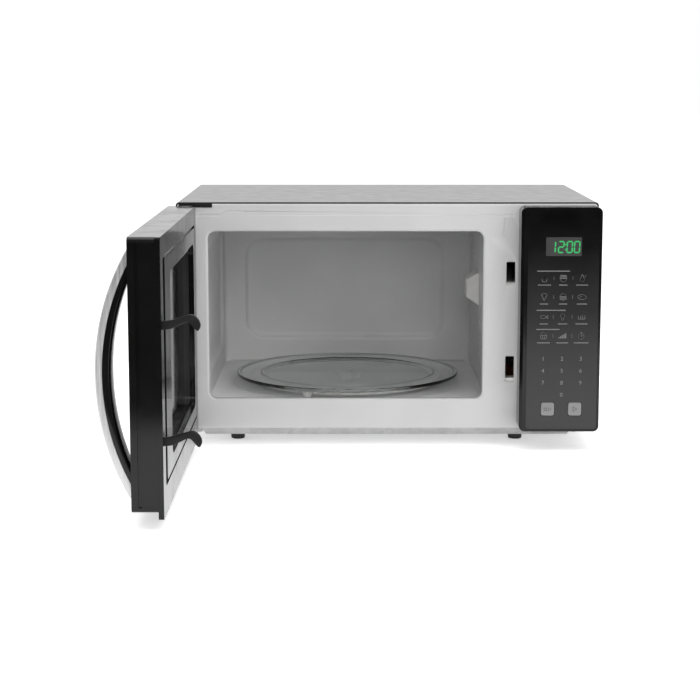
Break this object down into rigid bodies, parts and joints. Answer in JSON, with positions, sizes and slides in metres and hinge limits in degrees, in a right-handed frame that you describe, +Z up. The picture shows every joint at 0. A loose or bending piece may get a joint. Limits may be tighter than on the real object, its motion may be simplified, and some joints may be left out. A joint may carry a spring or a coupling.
{
  "type": "microwave oven",
  "caption": "Countertop microwave oven with a side-hinged door standing open, glass turntable and push-key control panel.",
  "frame": {"origin": "on the worktop that the feet stand on, under the middle of the bounding box of the oven with its door open at a right angle", "axes": "+Z up, +X to the right seen from the front, the cabinet's front faces -Y and the open door reaches out along -Y"},
  "size_m": [0.491, 0.6668, 0.264],
  "materials": {
    "cabinet_paint": "satin",
    "frame_paint": "satin",
    "cavity_paint": "satin",
    "bare_steel": "galvanised",
    "magnetron_fins": "plain",
    "steel_fixings": "zinc plated",
    "core_steel": "varnished",
    "windings": "varnished",
    "black_gloss": "gloss",
    "black_matte": "fine grain",
    "foot_rubber": "matt",
    "silver_trim": "satin",
    "key_plastic": "satin",
    "white_plastic": "satin",
    "tray_glass": "clear",
    "smoked_glass": "smoked",
    "film": "smoked",
    "lamp_glass": "clear",
    "screen_paint": "satin",
    "ceramic": "glazed",
    "board": "satin"
  },
  "bodies": {
    "cabinet": {"cabinet_wrap": "cabinet_paint", "rear_panel": "cabinet_paint", "front_frame": "frame_paint", "cavity_liner": "cavity_paint", "base_plate": "bare_steel", "motor_cover": "bare_steel", "waveguide": "bare_steel", "magnetron_body": "bare_steel", "capacitor_clamp": "bare_steel", "hv_capacitor": "bare_steel", "lower_hinge_bracket": "bare_steel", "magnetron_fins": "magnetron_fins", "cabinet_screws": "steel_fixings", "turntable_motor": "steel_fixings", "fan_motor": "steel_fixings", "transformer_core": "core_steel", "transformer_windings": "windings", "control_housing": "black_gloss", "control_fascia": "black_gloss", "upper_hinge_bracket": "black_matte", "microswitches": "black_matte", "thermal_cutout": "black_matte", "hv_diode": "black_matte", "display_module": "black_matte", "fan_shroud": "black_matte", "cord_gland": "black_matte", "feet": "foot_rubber", "latch_board": "white_plastic", "air_duct": "white_plastic", "lamp_holder": "white_plastic", "waveguide_cover": "white_plastic", "display_window": "smoked_glass", "lamp_bulb": "lamp_glass", "magnetron_antenna": "ceramic", "filter_board": "board", "control_board": "board"},
    "door": {"door_bezel": "black_gloss", "door_glass": "smoked_glass", "choke_plate": "screen_paint", "door_screen": "screen_paint", "inner_film": "film", "choke_cover": "black_gloss", "hinge_pins": "steel_fixings", "handle_bar": "black_gloss", "handle_trim": "silver_trim", "handle_screws": "steel_fixings", "latch_spring": "steel_fixings"},
    "latch": {"latch_bar": "black_matte"},
    "turntable": {"turntable_glass": "tray_glass", "turntable_coupler": "white_plastic", "drive_shaft": "white_plastic"},
    "roller_ring": {"roller_ring": "white_plastic"},
    "roller_1": {"roller_wheel_1": "white_plastic"},
    "roller_2": {"roller_wheel_2": "white_plastic"},
    "roller_3": {"roller_wheel_3": "white_plastic"},
    "fan": {"fan_blade": "white_plastic"},
    "start_key": {"key_start": "key_plastic"},
    "stop_key": {"key_stop": "key_plastic"}
  },
  "joints": [
    {"name": "door_hinge", "type": "hinge", "parent": "cabinet", "child": "door", "pos_m": [-0.1955, 0.02115, 0.138], "axis": [0, 0, 1], "range_deg": [-5, 90]},
    {"name": "latch_slide", "type": "slide", "parent": "door", "child": "latch", "axis": [0, 0, 1], "range_m": [0, 0.004], "stiffness_N_per_m": 500, "springref_m": -0.004, "deforming": ["latch_spring"]},
    {"name": "turntable_spin", "type": "hinge", "parent": "cabinet", "child": "turntable", "pos_m": [-0.0235, 0.17515, 0.0504], "axis": [0, 0, 1], "continuous": true},
    {"name": "roller_ring_spin", "type": "hinge", "parent": "cabinet", "child": "roller_ring", "pos_m": [-0.0235, 0.17515, 0.0504], "axis": [0, 0, 1], "continuous": true},
    {"name": "roller_1_spin", "type": "hinge", "parent": "roller_ring", "child": "roller_1", "pos_m": [-0.06695, 0.06867, 0.0504], "axis": [-0.3778, -0.9259, 0], "continuous": true},
    {"name": "roller_2_spin", "type": "hinge", "parent": "roller_ring", "child": "roller_2", "pos_m": [0.09044, 0.19076, 0.0504], "axis": [0.9907, 0.1357, 0], "continuous": true},
    {"name": "roller_3_spin", "type": "hinge", "parent": "roller_ring", "child": "roller_3", "pos_m": [-0.09398, 0.26602, 0.0504], "axis": [-0.6129, 0.7902, 0], "continuous": true},
    {"name": "fan_spin", "type": "hinge", "parent": "cabinet", "child": "fan", "pos_m": [0.1888, 0.29, 0.1565], "axis": [0, 1, 0], "continuous": true},
    {"name": "start_key_press", "type": "slide", "parent": "cabinet", "child": "start_key", "axis": [0, 1, 0], "range_m": [0, 0.0006], "stiffness_N_per_m": 2500, "springref_m": -0.0002},
    {"name": "stop_key_press", "type": "slide", "parent": "cabinet", "child": "stop_key", "axis": [0, 1, 0], "range_m": [0, 0.0006], "stiffness_N_per_m": 2500, "springref_m": -0.0002}
  ],
  "couplings": [
    {"joint": "roller_ring_spin", "follows": "turntable_spin", "ratio": 0.5},
    {"joint": "roller_1_spin", "follows": "turntable_spin", "ratio": -12.5},
    {"joint": "roller_2_spin", "follows": "turntable_spin", "ratio": -12.5},
    {"joint": "roller_3_spin", "follows": "turntable_spin", "ratio": -12.5}
  ]
}
